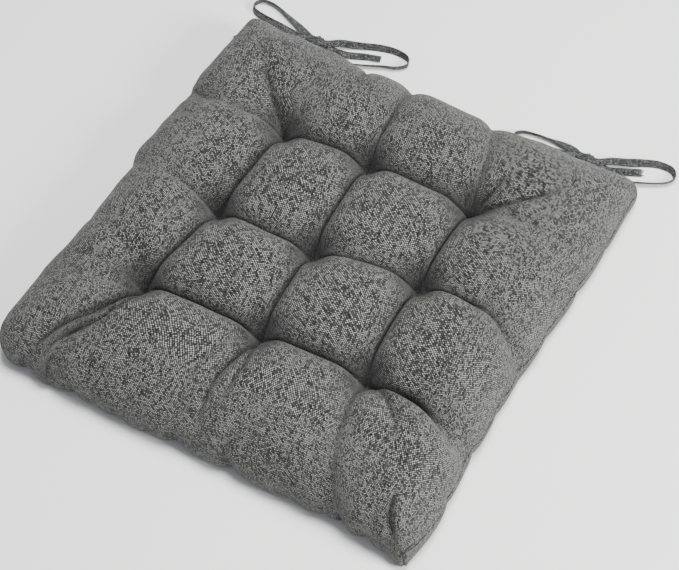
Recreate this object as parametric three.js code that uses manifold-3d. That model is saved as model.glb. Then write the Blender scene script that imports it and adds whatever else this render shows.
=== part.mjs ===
// Square tufted chair seat pad with two pairs of fabric ties, knotted in bows.
// Millimetres, +Z up. Origin: centre of the pad's footprint, on the surface it lies on.
// +X runs along the back edge to the right, +Y points to the back, where the ties are.
import * as THREE from 'three';
import { mergeVertices } from 'three/addons/utils/BufferGeometryUtils.js';
import Module from 'manifold-3d';

const wasm = await Module();
wasm.setup();

// ---------------------------------------------------------------- driving dimensions
const WIDTH = 430;            // side to side
const DEPTH = 430;            // front to back
const CROWN = 70;             // height of the crowns between the tufts
const SEAM_Z = 22;            // height of the perimeter seam on the sides and the back
const FRONT_SEAM_Z = 4;       // the seam runs under the edge at the front
const TUFT_Z = 24;            // bottom of a tuft pit
const UNDER_DIMPLE = 6;       // how far a tuft lifts the underside
const CLOTH = 1.4;            // cover cloth with its backing
const CLEAR = 0.6;            // between cover and filling
const SEAM_GAP = 1.4;         // between the two panels' edges, where the seam thread lies
const TACK_R = 1.1;           // twisted thread tack
const TACK_HOLE_R = 1.6;
const CORNER_TOP = 39;        // height of the sewn corners
const TIE_WIDTH = 8;
const TIE_THICK = 1.4;
const TIE_ROOT_Y = 217.6;     // the ties leave the back seam here
const TUFTS = [               // hand-placed, so not quite on a grid: front row first
  [-125, -106], [-1, -99], [106, -93],
  [-109, -5], [-7, -2], [98, 14],
  [-104, 102], [-13, 108], [96, 109],
];
const PITCH = 107.5;

// ---------------------------------------------------------------- materials
const cloth = (name) => new THREE.MeshStandardMaterial({ name, color: 0x6d6f6e, roughness: 0.93, metalness: 0 });
const fibre = (name) => new THREE.MeshStandardMaterial({ name, color: 0xeeece6, roughness: 1, metalness: 0 });
const thread = (name) => new THREE.MeshStandardMaterial({ name, color: 0x4a4c4c, roughness: 0.8, metalness: 0 });

const group = new THREE.Group();
group.name = 'chair_seat_pad';
const put = (name, geometry, material) => {
  const mesh = new THREE.Mesh(geometry, material);
  mesh.name = name;
  group.add(mesh);
  return mesh;
};

// ---------------------------------------------------------------- solids helpers
function solid(geometry) {
  let g = geometry.index ? geometry.toNonIndexed() : geometry.clone();
  for (const key of Object.keys(g.attributes)) if (key !== 'position') g.deleteAttribute(key);
  g = mergeVertices(g, 1e-4);
  return new wasm.Manifold(new wasm.Mesh({
    numProp: 3,
    vertProperties: new Float32Array(g.attributes.position.array),
    triVerts: new Uint32Array(g.index.array),
  }));
}
function toGeometry(manifold) {
  const m = manifold.getMesh();
  const g = new THREE.BufferGeometry();
  g.setAttribute('position', new THREE.BufferAttribute(new Float32Array(m.vertProperties), 3));
  g.setIndex(new THREE.BufferAttribute(new Uint32Array(m.triVerts), 1));
  g.computeVertexNormals();
  return g;
}
function mesh(points, faces) {
  const g = new THREE.BufferGeometry();
  g.setAttribute('position', new THREE.BufferAttribute(new Float32Array(points.flat()), 3));
  g.setIndex(faces.flat());
  g.computeVertexNormals();
  return g;
}

// ---------------------------------------------------------------- pad surfaces
const HX = WIDTH / 2, HY = DEPTH / 2;
const half = [0, 1, 2, 3, 4, 5, 6, 7].map((k) => (k * PITCH) / 4).concat([200, 208, 213, 215]);
const line = [...half.slice(1).reverse().map((v) => -v), ...half];
const N = line.length;

// the tufts bend the grid, so that every tuft is a grid point
const shift = [];
for (let j = 0; j < 5; j++) {
  shift.push([]);
  for (let i = 0; i < 5; i++) {
    const inner = i > 0 && i < 4 && j > 0 && j < 4;
    const t = inner ? TUFTS[(j - 1) * 3 + (i - 1)] : null;
    shift[j].push(inner ? [t[0] - (i - 2) * PITCH, t[1] - (j - 2) * PITCH] : [0, 0]);
  }
}
function bent(x, y) {
  const a = Math.min(3.999, Math.max(0, x / PITCH + 2)), b = Math.min(3.999, Math.max(0, y / PITCH + 2));
  const i = Math.floor(a), j = Math.floor(b), s = a - i, t = b - j;
  const mix = (k) => (shift[j][i][k] * (1 - s) + shift[j][i + 1][k] * s) * (1 - t)
    + (shift[j + 1][i][k] * (1 - s) + shift[j + 1][i + 1][k] * s) * t;
  return [x + mix(0), y + mix(1)];
}
const roll = (u, start) => { const t = Math.max(0, (Math.abs(u) - start) / (1 - start)); return Math.sqrt(Math.max(0, 1 - t * t)); };
const underside = (x, y) => Math.max(
  SEAM_Z * (1 - roll(x / HX, 0.84)),
  (y > 0 ? SEAM_Z : FRONT_SEAM_Z) * (1 - roll(y / HY, 0.84)),
);
function edgeRise(x, y) {
  const e = (u) => Math.sqrt(Math.max(0, 1 - Math.abs(u) ** 6));
  const a = e(x / HX), b = e(y / HY);
  return a * b === 0 ? 0 : (a ** -4 + b ** -4) ** -0.25 * 2 ** (0.25 * Math.min(1, Math.max(0, 1.6 - Math.hypot(x / HX, y / HY))));
}
function pits(x, y, px, py) {
  let p = 0;
  for (const [tx, ty] of TUFTS) p = Math.max(p, Math.exp(-((px - tx) ** 2 + (py - ty) ** 2) / (2 * 20 ** 2)));
  const near = (v) => Math.min(...[-PITCH, 0, PITCH].map((c) => Math.abs(v - c)));
  const inside = Math.min(1, Math.max(0, (HX - Math.max(Math.abs(x), Math.abs(y))) / 60));
  const valley = Math.max(Math.exp(-((near(x) / 10) ** 2)), Math.exp(-((near(y) / 10) ** 2))) * inside;
  return [p, valley];
}
// top and underside at a grid point, moved inward by t
function topPoint(x, y, t) {
  const [bx, by] = bent(x, y);
  const k = (HX - t) / HX;
  const edge = Math.abs(x) >= HX - 1e-6 || Math.abs(y) >= HY - 1e-6;
  if (edge) return [bx * k, by * k, underside(x, y)];
  const rise = Math.min(1, edgeRise(x, y));
  const [pit, valley] = pits(x, y, bx, by);
  const full = SEAM_Z + (CROWN - SEAM_Z) * rise - t * Math.min(1, rise * 1.2);
  const low = TUFT_Z - t;
  const z = full - Math.max(pit * (CROWN - TUFT_Z), valley * 9);
  return [bx * k, by * k, Math.max(z, low)];
}
function lowPoint(x, y, t) {
  const [bx, by] = bent(x, y);
  const k = (HX - t) / HX;
  const z0 = underside(x, y);
  let dimple = 0;
  for (const [tx, ty] of TUFTS) if (Math.hypot(bx - tx, by - ty) < 2) dimple = UNDER_DIMPLE;
  const edge = Math.abs(x) >= HX - 1e-6 || Math.abs(y) >= HY - 1e-6;
  return [bx * k, by * k, edge ? z0 : Math.max(z0 + t * (1 - z0 / SEAM_Z) , 0) + dimple];
}
const at = (i, j) => j * N + i;
function sheetFaces(offset, flip) {
  const out = [];
  for (let j = 0; j < N - 1; j++) for (let i = 0; i < N - 1; i++) {
    const a = offset + at(i, j), b = offset + at(i + 1, j), c = offset + at(i + 1, j + 1), d = offset + at(i, j + 1);
    // the diagonal points at the pad's centre, so that the corners stay crisp
    const two = (i < (N - 1) / 2) === (j < (N - 1) / 2) ? [[a, b, c], [a, c, d]] : [[a, b, d], [b, c, d]];
    for (const f of two) out.push(flip ? f.slice().reverse() : f);
  }
  return out;
}
const rim = [];
for (let i = 0; i < N - 1; i++) rim.push(at(i, 0));
for (let j = 0; j < N - 1; j++) rim.push(at(N - 1, j));
for (let i = N - 1; i > 0; i--) rim.push(at(i, N - 1));
for (let j = N - 1; j > 0; j--) rim.push(at(0, j));
// closes two sheets of one grid along their shared rim; 'over' lies above 'under'
function twoSheets(over, under) {
  const points = [], size = N * N;
  for (const f of [over, under]) for (const y of line) for (const x of line) points.push(f(x, y));
  const faces = [...sheetFaces(0, false), ...sheetFaces(size, true)];
  for (let k = 0; k < rim.length; k++) {
    const a = rim[k], b = rim[(k + 1) % rim.length];
    faces.push([a, size + a, size + b], [a, size + b, b]);
  }
  return mesh(points, faces);
}
const up = (p, dz) => [p[0], p[1], p[2] + dz];
const onEdge = (x, y) => Math.abs(x) >= HX - 1e-6 || Math.abs(y) >= HY - 1e-6;

const topOut = (x, y) => { const p = topPoint(x, y, 0); return onEdge(x, y) ? up(p, SEAM_GAP / 2) : p; };
const topIn = (x, y) => { const p = topPoint(x, y, CLOTH); return onEdge(x, y) ? up(p, SEAM_GAP / 2) : p; };
const lowOut = (x, y) => { const p = lowPoint(x, y, 0); return onEdge(x, y) ? up(p, -SEAM_GAP / 2) : p; };
const lowIn = (x, y) => { const p = lowPoint(x, y, CLOTH); return onEdge(x, y) ? up(p, -SEAM_GAP / 2) : p; };
const fillTop = (x, y) => { const p = topPoint(x, y, CLOTH + CLEAR); return onEdge(x, y) ? up(p, 0.25) : p; };
const fillLow = (x, y) => { const p = lowPoint(x, y, CLOTH + CLEAR); return onEdge(x, y) ? up(p, -0.25) : p; };

let top = solid(twoSheets(topOut, topIn));
let bottom = solid(twoSheets(lowIn, lowOut));
let filling = solid(twoSheets(fillTop, fillLow));
for (const [x, y] of TUFTS) {
  const hole = new THREE.CylinderGeometry(TACK_HOLE_R, TACK_HOLE_R, 200, 8);
  hole.rotateX(Math.PI / 2);
  hole.translate(x, y, 40);
  const h = solid(hole);
  top = top.subtract(h);
  bottom = bottom.subtract(h);
  filling = filling.subtract(h);
}
put('cover_top_panel', toGeometry(top), cloth('cover_cloth'));
put('cover_bottom_panel', toGeometry(bottom), cloth('cover_cloth_under'));
put('fibre_filling', toGeometry(filling), fibre('fibre'));

// ---------------------------------------------------------------- seam thread and corner stitching
// swept section along a list of points; section(k) gives its corners at point k
function sweep(points, section, closed) {
  const rings = points.map((p, k) => section(p, k));
  const n = rings[0].length, m = rings.length;
  const pts = rings.flat();
  const faces = [];
  for (let k = 0; k < (closed ? m : m - 1); k++) for (let s = 0; s < n; s++) {
    const k2 = (k + 1) % m, s2 = (s + 1) % n;
    const a = k * n + s, b = k * n + s2, c = k2 * n + s2, d = k2 * n + s;
    faces.push([a, b, c], [a, c, d]);
  }
  if (!closed) {
    for (let s = 1; s < n - 1; s++) {
      faces.push([0, s + 1, s], [(m - 1) * n, (m - 1) * n + s, (m - 1) * n + s + 1]);
    }
  }
  // turned so that the faces point outwards
  let volume = 0;
  for (const [a, b, c] of faces) {
    const [p, q, r] = [pts[a], pts[b], pts[c]];
    volume += p[0] * (q[1] * r[2] - q[2] * r[1]) - p[1] * (q[0] * r[2] - q[2] * r[0]) + p[2] * (q[0] * r[1] - q[1] * r[0]);
  }
  return mesh(pts, volume < 0 ? faces.map((f) => f.slice().reverse()) : faces);
}
const ringPoints = rim.map((id) => {
  const x = line[id % N], y = line[Math.floor(id / N)];
  return [x, y, underside(x, y)];
});
const seamRing = sweep(ringPoints, (p) => {
  const inner = (HX - 1.2) / HX, outer = (HX - 0.2) / HX;
  return [
    [p[0] * outer, p[1] * outer, p[2] - 0.35], [p[0] * outer, p[1] * outer, p[2] + 0.35],
    [p[0] * inner, p[1] * inner, p[2] + 0.35], [p[0] * inner, p[1] * inner, p[2] - 0.35],
  ];
}, true);
put('perimeter_seam_thread', seamRing, thread('seam_thread'));

for (const [name, sx, sy] of [['front_left', -1, -1], ['front_right', 1, -1], ['back_left', -1, 1], ['back_right', 1, 1]]) {
  const out = 1.0;
  const path = [215, 213, 208].map((v) => {
    const z = v === 215 ? SEAM_Z + 2 : topPoint(v, v, 0)[2];
    return [sx * (v + out), sy * (v + out), z];
  });
  const dir = [sx / Math.SQRT2, sy / Math.SQRT2], side = [-dir[1], dir[0]];
  const g = sweep(path, (p) => {
    const r = 0.4, c = [];
    for (let s = 0; s < 6; s++) {
      const a = (s / 6) * 2 * Math.PI;
      c.push([p[0] + r * (Math.cos(a) * dir[0] + Math.sin(a) * side[0]), p[1] + r * (Math.cos(a) * dir[1] + Math.sin(a) * side[1]), p[2]]);
    }
    return c;
  }, false);
  put(`corner_stitching_${name}`, g, thread('corner_thread'));
}

// ---------------------------------------------------------------- tufting tacks
const rows = ['front', 'middle', 'back'], cols = ['left', 'centre', 'right'];
TUFTS.forEach(([x, y], k) => {
  const profile = [[0, 3.0], [2.4, 3.0], [2.4, 4.4], [TACK_R, 5.0], [TACK_R, TUFT_Z + 3.6], [3.0, TUFT_Z + 4.6], [3.0, TUFT_Z + 6.0], [0, TUFT_Z + 6.4]]
    .map(([r, z]) => new THREE.Vector2(r, z));
  const g = new THREE.LatheGeometry(profile, 8);
  g.rotateX(Math.PI / 2);
  g.translate(x, y, 0);
  put(`tuft_tack_${rows[Math.floor(k / 3)]}_${cols[k % 3]}`, toGeometry(solid(g)), thread('tuft_thread'));
});

// ---------------------------------------------------------------- ties
const LAYER = { aOut: 7.6, bOut: 5.8, bBack: 4.0, aBack: 2.2 };   // the four passes through a knot
const FLOOR_Z = 1.1;
const BOWS = {
  left: {
    knot: [-155, 239],
    rightFar: [[-133, 247.5, 6.4], [-118, 254, 3.2], [-94, 263, 1.3], [-75, 266, FLOOR_Z]],
    rightTip: [[-62, 263, FLOOR_Z], [-59, 256, FLOOR_Z], [-66, 248.5, FLOOR_Z]],
    rightNear: [[-81, 243, FLOOR_Z], [-98, 236, FLOOR_Z], [-116, 230, FLOOR_Z], [-133, 229.5, FLOOR_Z]],
    rightTail: [[-133, 238.5, 2.9], [-118, 241.5, 1.4], [-102, 248, FLOOR_Z], [-88, 252.5, FLOOR_Z]],
    leftFar: [[-177, 246, 4.6], [-189, 251, 2.6], [-202, 256, 1.2], [-214, 260, FLOOR_Z], [-226, 261.5, FLOOR_Z]],
    leftTip: [[-236, 259, FLOOR_Z], [-240, 251.5, FLOOR_Z], [-236, 245, FLOOR_Z]],
    leftNear: [[-224, 241.5, FLOOR_Z], [-206, 240, FLOOR_Z], [-190, 238.5, 1.8], [-177, 238, 3.0]],
    leftTail: [[-176, 230.5, FLOOR_Z], [-190, 228, FLOOR_Z], [-205, 227, FLOOR_Z], [-219, 223.5, FLOOR_Z], [-229, 216, FLOOR_Z], [-234.5, 205, FLOOR_Z]],
  },
  right: {
    knot: [154, 237],
    rightFar: [[176, 245.5, 6.4], [190, 253, 3.2], [206, 261, 1.3], [218, 265, FLOOR_Z]],
    rightTip: [[231, 264.5, FLOOR_Z], [237, 257, FLOOR_Z], [232.5, 249, FLOOR_Z]],
    rightNear: [[222, 243, FLOOR_Z], [208, 236.5, FLOOR_Z], [192, 230, FLOOR_Z], [176, 227.5, FLOOR_Z]],
    rightTail: [[176, 236.5, 2.9], [188, 240.5, 1.4], [197, 245, FLOOR_Z], [206, 250, FLOOR_Z]],
    leftFar: [[132, 242.5, 4.6], [120, 243.5, 2.6], [106, 242.5, 1.2], [94, 240.5, FLOOR_Z]],
    leftTip: [[83, 237.5, FLOOR_Z], [77.5, 231.5, FLOOR_Z], [82, 225.5, FLOOR_Z]],
    leftNear: [[92, 225, FLOOR_Z], [104, 228, FLOOR_Z], [118, 231.5, 1.6], [132, 233.8, 3.0]],
    leftTail: [[133, 226.2, FLOOR_Z], [124, 222.5, FLOOR_Z], [113, 221.5, FLOOR_Z]],
  },
};
function route(points) {
  const curve = new THREE.CatmullRomCurve3(points.map((p) => new THREE.Vector3(...p)), false, 'centripetal');
  curve.arcLengthDivisions = 2000;
  const length = curve.getLength();
  const n = Math.round(length / 4.5);
  return curve.getSpacedPoints(n);
}
function strap(points) {
  const pts = route(points);
  return sweep(pts, (p, k) => {
    const a = pts[Math.max(0, k - 1)], b = pts[Math.min(pts.length - 1, k + 1)];
    const t = b.clone().sub(a).normalize();
    const side = new THREE.Vector3(-t.y, t.x, 0).normalize();   // width lies level
    const up2 = t.clone().cross(side).normalize();
    const w = TIE_WIDTH / 2, h = TIE_THICK / 2;
    return [[-w, -h], [w, -h], [w, h], [-w, h]].map(([i, j]) => [
      p.x + side.x * i + up2.x * j, p.y + side.y * i + up2.y * j, p.z + side.z * i + up2.z * j,
    ]);
  }, false);
}
const lengths = {};
for (const [side, b] of Object.entries(BOWS)) {
  const [kx, ky] = b.knot;
  const K = (dx, dy, z) => [kx + dx, ky + dy, z];
  const rootA = [kx - 13, TIE_ROOT_Y, SEAM_Z], rootB = [kx + 13, TIE_ROOT_Y, SEAM_Z];
  const through = (s, z) => [K(-s * 8, 0, z), K(-s * 4, 0, z), K(0, 0, z), K(s * 4, 0, z), K(s * 8, 0, z)];
  const a = [
    rootA, [kx - 13, TIE_ROOT_Y + 3, 21.9], [kx - 14.5, TIE_ROOT_Y + 7, 19], [kx - 17, TIE_ROOT_Y + 11.5, 14], K(-17, -5.5, 9.6), K(-13.5, -1.2, 8.0),
    ...through(1, LAYER.aOut), K(14, 2.5, 7.6),
    ...b.rightFar, ...b.rightTip, ...b.rightNear, K(14, -4.6, 1.5),
    ...through(-1, LAYER.aBack), K(-14, -4.2, 1.5), ...b.leftTail,
  ];
  const bb = [
    rootB, [kx + 13, TIE_ROOT_Y + 3, 21.9], [kx + 15, TIE_ROOT_Y + 7, 18], [kx + 17.5, TIE_ROOT_Y + 10.5, 12], K(17.5, -6, 6.6), K(13.5, -1.4, 5.8),
    ...through(-1, LAYER.bOut), K(-14, 3, 5.5),
    ...b.leftFar, ...b.leftTip, ...b.leftNear, K(-14, 0, 3.8),
    ...through(1, LAYER.bBack), K(14, 0, 3.8), ...b.rightTail,
  ];
  put(`tie_${side}_outer`, strap(side === 'left' ? a : bb), cloth(`tie_cloth_${side}_outer`));
  put(`tie_${side}_inner`, strap(side === 'left' ? bb : a), cloth(`tie_cloth_${side}_inner`));
  // the turn of tie cloth that holds the bow's four passes together
  const band = new THREE.Shape([[-5.9, 0.12], [5.9, 0.12], [5.9, 9.6], [-5.9, 9.6]].map((p) => new THREE.Vector2(...p)));
  band.holes.push(new THREE.Path([[-4.6, 1.2], [-4.6, 8.6], [4.6, 8.6], [4.6, 1.2]].map((p) => new THREE.Vector2(...p))));
  const g = new THREE.ExtrudeGeometry(band, { depth: 9, bevelEnabled: false, steps: 1 });
  g.applyMatrix4(new THREE.Matrix4().makeBasis(new THREE.Vector3(0, 1, 0), new THREE.Vector3(0, 0, 1), new THREE.Vector3(1, 0, 0)));
  g.translate(kx - 4.5, ky, 0);
  put(`bow_knot_${side}`, toGeometry(solid(g)), cloth(`knot_cloth_${side}`));
  // thread bar tacks that hold the ties' roots to the seam
  for (const [end, x] of [['a', kx - 13], ['b', kx + 13]]) {
    const tack = new THREE.BoxGeometry(9, 0.9, 3.4);
    tack.translate(x, HY + 0.3 + 0.45, SEAM_Z);
    put(`tie_bar_tack_${side}_${(side === 'left') === (end === 'a') ? 'outer' : 'inner'}`, tack, thread('bar_tack_thread'));
  }
}

export default group;
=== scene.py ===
"""Looks for the tufted chair seat pad. Units are metres, in the CAD frame."""
import bpy
import math
import numpy as np
from mathutils import Matrix, Vector


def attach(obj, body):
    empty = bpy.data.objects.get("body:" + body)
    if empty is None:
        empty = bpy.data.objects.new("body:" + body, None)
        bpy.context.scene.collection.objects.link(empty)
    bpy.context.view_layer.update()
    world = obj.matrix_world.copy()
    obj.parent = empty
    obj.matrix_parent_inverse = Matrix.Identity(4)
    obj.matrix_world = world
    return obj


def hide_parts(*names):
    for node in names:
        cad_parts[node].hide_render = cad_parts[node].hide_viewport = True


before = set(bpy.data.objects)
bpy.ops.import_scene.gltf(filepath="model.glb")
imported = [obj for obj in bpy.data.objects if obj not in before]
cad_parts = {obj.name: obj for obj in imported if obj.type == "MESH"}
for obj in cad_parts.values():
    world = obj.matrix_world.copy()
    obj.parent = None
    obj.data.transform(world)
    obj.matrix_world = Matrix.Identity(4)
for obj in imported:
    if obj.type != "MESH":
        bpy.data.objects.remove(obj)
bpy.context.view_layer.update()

# ------------------------------------------------------------------ camera
# fitted to the photograph's corners and tufts: azimuth 38.5, elevation 57.1, rolled 8.2 degrees
CAM_RIGHT = (0.848944, 0.522826, -0.077123)
CAM_DOWN = (0.406435, -0.739175, -0.537058)
CAM_FWD = (-0.337795, 0.424586, -0.840012)
CAM_POS = (0.619696, -0.755582, 1.498529)
cam_data = bpy.data.cameras.new("camera")
cam_data.sensor_width = 36.0
cam_data.sensor_fit = "HORIZONTAL"
cam_data.lens = 1900 * 36.0 / 679
cam_data.clip_start, cam_data.clip_end = 0.05, 50
cam = bpy.data.objects.new("camera", cam_data)
bpy.context.scene.collection.objects.link(cam)
right, down, fwd = Vector(CAM_RIGHT), Vector(CAM_DOWN), Vector(CAM_FWD)
m = Matrix.Identity(4)
for r in range(3):
    m[r][0], m[r][1], m[r][2], m[r][3] = right[r], -down[r], -fwd[r], CAM_POS[r]
cam.matrix_world = m
bpy.context.scene.camera = cam

# ------------------------------------------------------------------ the pad's shape, sculpted in code
# Every length below is in mm. The surface is one box of cloth: a top grid, side rows and an underside grid.
BAY = 44                           # cells between neighbouring tuft lines
N = 4 * BAY
# heights of the side's rows below the shoulder's rim, close together where the seams run
SIDE_Z = (30.0, 26.5, 24.4, 23.2, 22.1, 21.0, 19.0, 16.0, 12.5, 9.2, 6.6, 5.2, 4.2, 3.2, 1.4, 0.0)
ROWS = len(SIDE_Z)
SEAM_SIDE, SEAM_FRONT = 5, 13      # the rows where the two cloths are sewn together
RIM = math.radians(66)             # how far round the shoulder the top grid runs
TUFTS = [(-125, -106), (-1, -99), (106, -93), (-109, -5), (-7, -2), (98, 14), (-104, 102), (-13, 108), (96, 109)]
TUFT_Z, UNDER_Z, CROWN = 24.0, 6.0, 69.5
# where the tuft lines meet the edges: columns at the front and the back, rows at the left and the right
COL_FRONT, COL_BACK = (-158, -6, 145), (-110, -21, 65)
ROW_LEFT, ROW_RIGHT = (-130, 2, 92), (-112, -8, 112)


def smooth(t):
    t = np.clip(t, 0, 1)
    return t * t * (3 - 2 * t)


def lagrange(t, knots, vals):
    out = 0
    for i, (ki, vi) in enumerate(zip(knots, vals)):
        w = 1.0
        for j, kj in enumerate(knots):
            if j != i:
                w = w * (t - kj) / (ki - kj)
        out = out + w * vi
    return out


def interp(t, knots, vals):
    """Smooth steps between the knots."""
    t = np.asarray(t, float)
    k = np.clip(np.searchsorted(knots, t, side="right") - 1, 0, len(knots) - 2)
    kn, va = np.array(knots, float), np.array(vals, float)
    f = smooth((t - kn[k]) / (kn[k + 1] - kn[k]))
    return va[k] * (1 - f) + va[k + 1] * f


def col_x(k, q):
    """x of tuft line k (0, 1, 2) at row parameter q in 0..4."""
    return lagrange(q, (0, 1, 2, 3, 4), (COL_FRONT[k], TUFTS[k][0], TUFTS[k + 3][0], TUFTS[k + 6][0], COL_BACK[k]))


def row_y(k, p):
    return lagrange(p, (0, 1, 2, 3, 4), (ROW_LEFT[k], TUFTS[3 * k][1], TUFTS[3 * k + 1][1], TUFTS[3 * k + 2][1], ROW_RIGHT[k]))


# depth of each valley below the crowns at parameters 0..4 in steps of a half: between tufts and out to the edges
KNOT = (0, 0.35, 0.7, 1, 1.5, 2, 2.5, 3, 3.3, 3.65, 4)
COL_DEPTH = [
    (4.0, 6.0, 13.0, 30, 27.0, 30, 28.0, 30, 7.0, 1.0, 0.0),
    (1.0, 2.0, 9.0, 30, 26.0, 30, 25.0, 30, 17.0, 12.0, 6.0),
    (2.0, 6.0, 13.0, 30, 27.0, 30, 25.5, 30, 14.0, 10.0, 8.0),
]
ROW_DEPTH = [
    (1.0, 2.0, 9.0, 30, 28.0, 30, 28.0, 30, 20.0, 14.0, 4.0),
    (3.0, 3.0, 8.0, 30, 24.5, 30, 20.0, 30, 21.0, 14.0, 7.0),
    (4.0, 7.0, 14.0, 30, 29.0, 30, 28.0, 30, 9.0, 2.0, 0.0),
]


def closure(depth):
    return np.clip((depth - 2) / 18.0, 0, 1) ** 0.8


PHI = math.radians(102)


def warp(p, q, depths):
    """Pushes cloth towards the valleys on both sides; depths[k] is the valley depth of line k+1 at each point.
    Beside a tuft, which q tells, the valley opens into a funnel."""
    out = p.copy()
    near = np.minimum.reduce([np.abs(q - k) for k in (1, 2, 3)])
    open_ = 1 - 0.7 * np.exp(-(near / 0.13) ** 2)
    s_all = []
    for k in range(3):
        d = p - (k + 1)
        c = closure(depths[k]) * open_
        for sign in (-1, 1):
            m = (d * sign >= 0) & (np.abs(d) <= 0.5)
            s = np.abs(d) * 2
            full = 0.5 * (1 - 0.994 * np.sin(PHI * (1 - s)))
            full = np.where(s < 1e-6, 0, full)
            v = (1 - c) * s / 2 + c * full
            out = np.where(m, (k + 1) + sign * v, out)
    return out


def valley(p, depths, power):
    """Drop below the crowns: each valley is the foot of two round pillows."""
    tot = 0
    for k in range(3):
        d = np.abs(p - (k + 1))
        s = np.clip(d * 2, 0, 1)
        dep = depths[k]
        # a deep valley is a full pillow wide, a shallow crease is narrow
        wide = np.clip(0.34 + dep / 24.0, 0.3, 1.0)
        s = np.clip(s / wide, 0, 1)
        g = 0.72 * (1 - np.cos(PHI * (1 - s))) / (1 - math.cos(PHI)) + 0.28 * (1 - np.sin(math.pi / 2 * s))
        tot = tot + (dep * g) ** power
    return tot


HALF = 215.0
CREST = 163.0                      # where the outer pillows are highest
EDGE_Z = 17.0                      # where the side is steepest
TUCK = 9.0                         # how far the side turns in below that
SIDES = ("front", "right", "back", "left")
# the outline: (place along the side, distance out)
OUTLINE = {
    "front": ((-215, -160, -100, -50, 20, 110, 165, 215), (222, 226.5, 226, 224, 218.5, 214, 217, 219.5)),
    "right": ((-215, -170, -120, -50, -10, 30, 90, 150, 190, 215), (220, 226, 222, 218, 217, 218.5, 221.5, 222, 219, 219)),
    "back": ((-215, -160, -110, -70, -10, 63, 120, 170, 215), (219, 217, 216.5, 213.5, 216.8, 214, 216, 216, 219)),
    "left": ((-215, -181, -114, -60, -20, 21, 60, 90, 122, 170, 215), (222, 225, 225, 221, 220, 225, 224.5, 222.5, 225, 220.5, 219)),
}
ROUND = {(-1, -1): 22.0, (1, -1): 5.0, (1, 1): 5.0, (-1, 1): 5.0}


def outline(side, at):
    return interp(at, *OUTLINE[side])


def round_corners(xy):
    """Rounds the plan's four corners."""
    out = xy.copy()
    for (sx, sy), rad in ROUND.items():
        ex = outline("right" if sx > 0 else "left", np.array([sy * 205.0]))[0] - rad
        ey = outline("back" if sy > 0 else "front", np.array([sx * 205.0]))[0] - rad
        dx, dy = out[:, 0] * sx - ex, out[:, 1] * sy - ey
        m = (dx > 0) & (dy > 0)
        d = np.hypot(dx, dy)
        # a square's distance becomes a circle's
        k = np.maximum(dx, dy) / np.maximum(d, 1e-9)
        out[m, 0] = (sx * (ex + dx * k))[m]
        out[m, 1] = (sy * (ey + dy * k))[m]
    return out



def outer(p, line1, line3, lo, hi):
    """Base position across the pad for parameter p, and the shoulder's angle (signed)."""
    b = np.clip(np.floor(p).astype(int), 0, 3)
    f = p - b
    ang = np.zeros_like(p)
    x = np.zeros_like(p)
    # right-hand outer bay
    for side, sgn in ((3, 1), (0, -1)):
        ff = f if side == 3 else 1 - f
        line = line3 if side == 3 else line1
        edge = hi if side == 3 else lo
        crest = sgn * CREST
        inner_part = line + (crest - line) * np.clip(2 * ff, 0, 1)
        th = RIM * np.clip(2 * ff - 1, 0, 1)
        xs = inner_part + (edge - crest) * np.sin(th)
        m = b == side
        x = np.where(m, xs, x)
        ang = np.where(m, sgn * th, ang)
    return x, ang, b, f


def sheet(p, q, creases=True):
    """World position of the top cloth at parameters p, q in 0..4, before the loose creases."""
    cd = [interp(q, KNOT, COL_DEPTH[k]) for k in range(3)]
    rd = [interp(p, KNOT, ROW_DEPTH[k]) for k in range(3)]
    pw, qw = warp(p, q, cd), warp(q, p, rd)
    cx = [col_x(k, qw) for k in range(3)]
    ry = [row_y(k, pw) for k in range(3)]
    yy, xx = HALF * (qw / 2 - 1), HALF * (pw / 2 - 1)
    x, ax, bx, fx = outer(pw, cx[0], cx[2], -outline("left", yy), outline("right", yy))
    y, ay, by, fy = outer(qw, ry[0], ry[2], -outline("front", xx), outline("back", xx))
    x = np.where(bx == 1, cx[0] + (cx[1] - cx[0]) * fx, x)
    x = np.where(bx == 2, cx[1] + (cx[2] - cx[1]) * fx, x)
    y = np.where(by == 1, ry[0] + (ry[1] - ry[0]) * fy, y)
    y = np.where(by == 2, ry[1] + (ry[2] - ry[1]) * fy, y)
    high = CROWN - EDGE_Z
    dx, dy = high * (1 - np.cos(ax)), high * (1 - np.cos(ay))
    drop = (dx ** 7 + dy ** 7 + 1e-9) ** (1 / 7.0)
    z = CROWN - drop
    xy = round_corners(np.stack([x.ravel(), y.ravel()], 1)).reshape(x.shape + (2,))
    x, y = xy[..., 0], xy[..., 1]
    env = np.stack([x, y, z], -1)
    r2 = np.full(x.shape, 1e9)
    for tx, ty in TUFTS:
        r2 = np.minimum(r2, (x - tx) ** 2 + (y - ty) ** 2)
    r = np.sqrt(r2)
    v = valley(p, cd, 5) + valley(q, rd, 5)
    deep = CROWN - TUFT_Z
    pit = deep * (0.25 * np.exp(-r / 5.0) + 0.75 * np.exp(-(r / 24) ** 1.5))
    total = (v ** 0.9 + np.clip(pit, 1e-6, None) ** 4.5) ** (1 / 4.5)
    total = np.minimum(total, deep + 0.6)
    return env, total, ax, ay


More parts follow.
